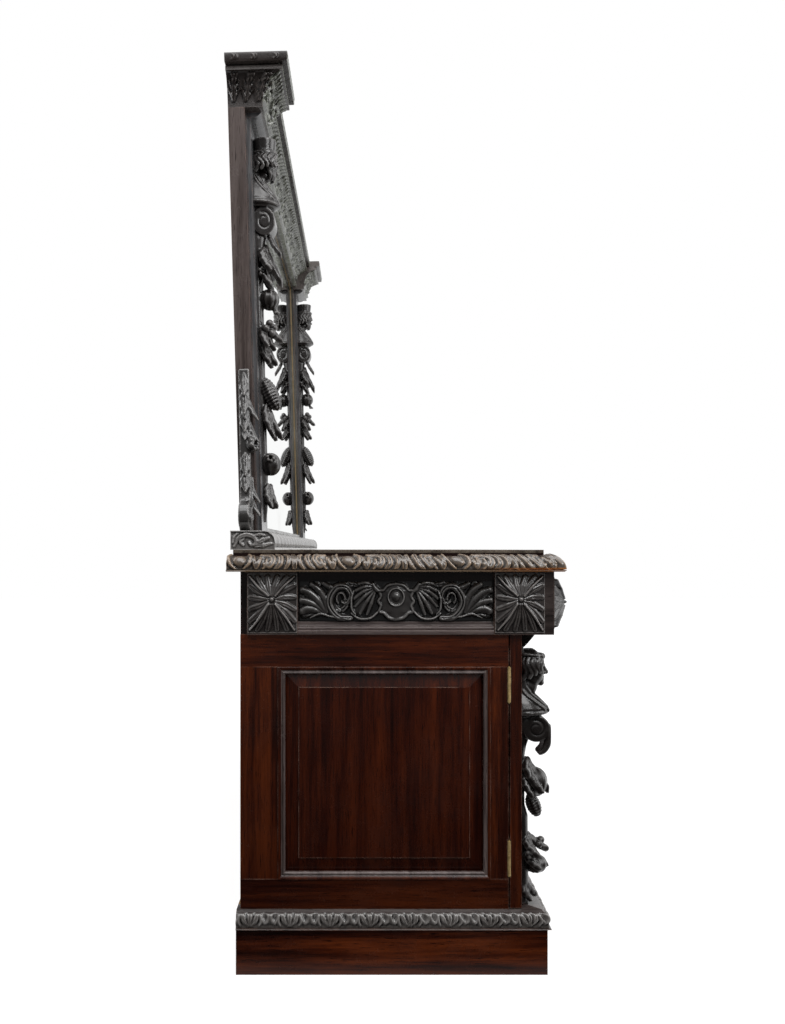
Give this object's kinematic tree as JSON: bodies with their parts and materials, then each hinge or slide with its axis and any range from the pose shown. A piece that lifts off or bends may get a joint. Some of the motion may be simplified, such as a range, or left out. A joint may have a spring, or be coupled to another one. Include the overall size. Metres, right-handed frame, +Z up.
{
  "type": "mirror-back sideboard",
  "caption": "Carved dark-stained sideboard with cupboards and concealed frieze drawers below a moulded top, and a raked mirror back between carved uprights.",
  "frame": {"origin": "on the floor under the middle of the whole piece", "axes": "+Z up, +X along the width to the right of someone facing the front, -Y out of the front"},
  "size_m": [1.98, 0.7712, 2.0467],
  "materials": {
    "polished_wood": "dark stained, waxed, with red-brown grain",
    "carved_wood": "dark stained carving with worn highlights",
    "secondary_wood": "unpolished inner timber",
    "brass": "aged brass",
    "mirror_glass": "silvered plate glass"
  },
  "bodies": {
    "carcass": {"plinth_boards": "polished_wood", "end_stiles": "polished_wood", "end_rails": "polished_wood", "end_panels": "polished_wood", "end_mouldings": "polished_wood", "pilasters": "polished_wood", "frieze_ends": "polished_wood", "frieze_blocks": "polished_wood", "frieze_mouldings": "polished_wood", "table_top": "polished_wood", "mirror_uprights": "polished_wood", "upright_pilasters": "polished_wood", "mirror_slips": "polished_wood", "plinth_moulding": "carved_wood", "pilaster_figures": "carved_wood", "frieze_bosses": "carved_wood", "frieze_carved_panels": "carved_wood", "table_edge": "carved_wood", "mirror_plinth": "carved_wood", "upright_terms": "carved_wood", "upright_ears": "carved_wood", "cornice_blocks": "carved_wood", "cornice_centre": "carved_wood", "cornice_crown": "carved_wood", "carcass_floor": "secondary_wood", "partitions": "secondary_wood", "carcass_top": "secondary_wood", "back_boards": "secondary_wood", "shelves": "secondary_wood", "shelf_battens": "secondary_wood", "frieze_rails": "secondary_wood", "drawer_runners": "secondary_wood", "mirror_back": "secondary_wood", "hinge_leaves": "brass", "hinge_pins": "brass", "mirror_glass": "mirror_glass"},
    "left_door": {"left_door_stiles": "polished_wood", "left_door_rails": "polished_wood", "left_door_panel": "polished_wood", "left_door_moulding": "polished_wood", "left_door_fittings": "brass", "left_door_figure": "carved_wood"},
    "centre_door": {"centre_door_stiles": "polished_wood", "centre_door_rails": "polished_wood", "centre_door_panel": "polished_wood", "centre_door_moulding": "polished_wood", "centre_door_fittings": "brass"},
    "right_door": {"right_door_stiles": "polished_wood", "right_door_rails": "polished_wood", "right_door_panel": "polished_wood", "right_door_moulding": "polished_wood", "right_door_fittings": "brass", "right_door_figure": "carved_wood"},
    "left_drawer": {"left_drawer_front": "polished_wood", "left_drawer_box": "secondary_wood"},
    "centre_drawer": {"centre_drawer_front": "polished_wood", "centre_drawer_box": "secondary_wood"},
    "right_drawer": {"right_drawer_front": "polished_wood", "right_drawer_box": "secondary_wood"}
  },
  "joints": [
    {"name": "left_door_hinge", "type": "hinge", "parent": "carcass", "child": "left_door", "pos_m": [-0.95, -0.25006, 0.437], "axis": [0, 0, -1], "range_deg": [0, 170]},
    {"name": "centre_door_hinge", "type": "hinge", "parent": "carcass", "child": "centre_door", "pos_m": [-0.2715, -0.27756, 0.437], "axis": [0, 0, -1], "range_deg": [0, 90]},
    {"name": "right_door_hinge", "type": "hinge", "parent": "carcass", "child": "right_door", "pos_m": [0.95, -0.25006, 0.437], "axis": [0, 0, 1], "range_deg": [0, 170]},
    {"name": "left_drawer_slide", "type": "slide", "parent": "carcass", "child": "left_drawer", "axis": [0, -1, 0], "range_m": [0, 0.36]},
    {"name": "centre_drawer_slide", "type": "slide", "parent": "carcass", "child": "centre_drawer", "axis": [0, -1, 0], "range_m": [0, 0.36]},
    {"name": "right_drawer_slide", "type": "slide", "parent": "carcass", "child": "right_drawer", "axis": [0, -1, 0], "range_m": [0, 0.36]}
  ]
}
